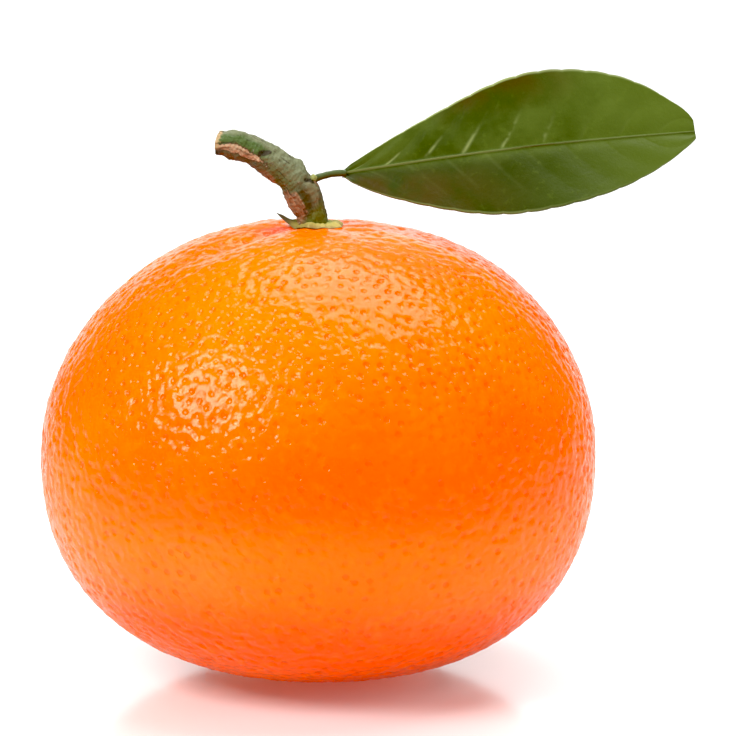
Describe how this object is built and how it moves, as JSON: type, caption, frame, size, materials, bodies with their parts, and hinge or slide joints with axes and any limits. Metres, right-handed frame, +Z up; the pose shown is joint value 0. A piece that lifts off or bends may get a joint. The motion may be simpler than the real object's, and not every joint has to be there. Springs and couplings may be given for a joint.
{
  "type": "mandarin orange",
  "caption": "Whole round citrus fruit with pitted orange peel, star-shaped calyx, bent cut twig and a leaf on its stalk; rests on a small flat spot.",
  "frame": {"origin": "middle of the small flat spot that the fruit rests on", "axes": "+Z up through the fruit, +X the way the leaf points, -X the way the cut twig points, -Y the side in the picture"},
  "size_m": [0.0805, 0.0682, 0.0741],
  "materials": {
    "peel": "waxy, finely pitted and pebbled orange peel",
    "calyx": "dry yellow-green sepals with brown tips",
    "bark": "grey-green bark with brown corky strips and a pale cut end",
    "petiole": "smooth green leaf stalk",
    "leaf": "waxy dark green blade, paler on its underside"
  },
  "bodies": {
    "root": {"fruit": "peel", "calyx": "calyx", "stem": "bark", "petiole": "petiole", "leaf": "leaf"}
  },
  "joints": []
}
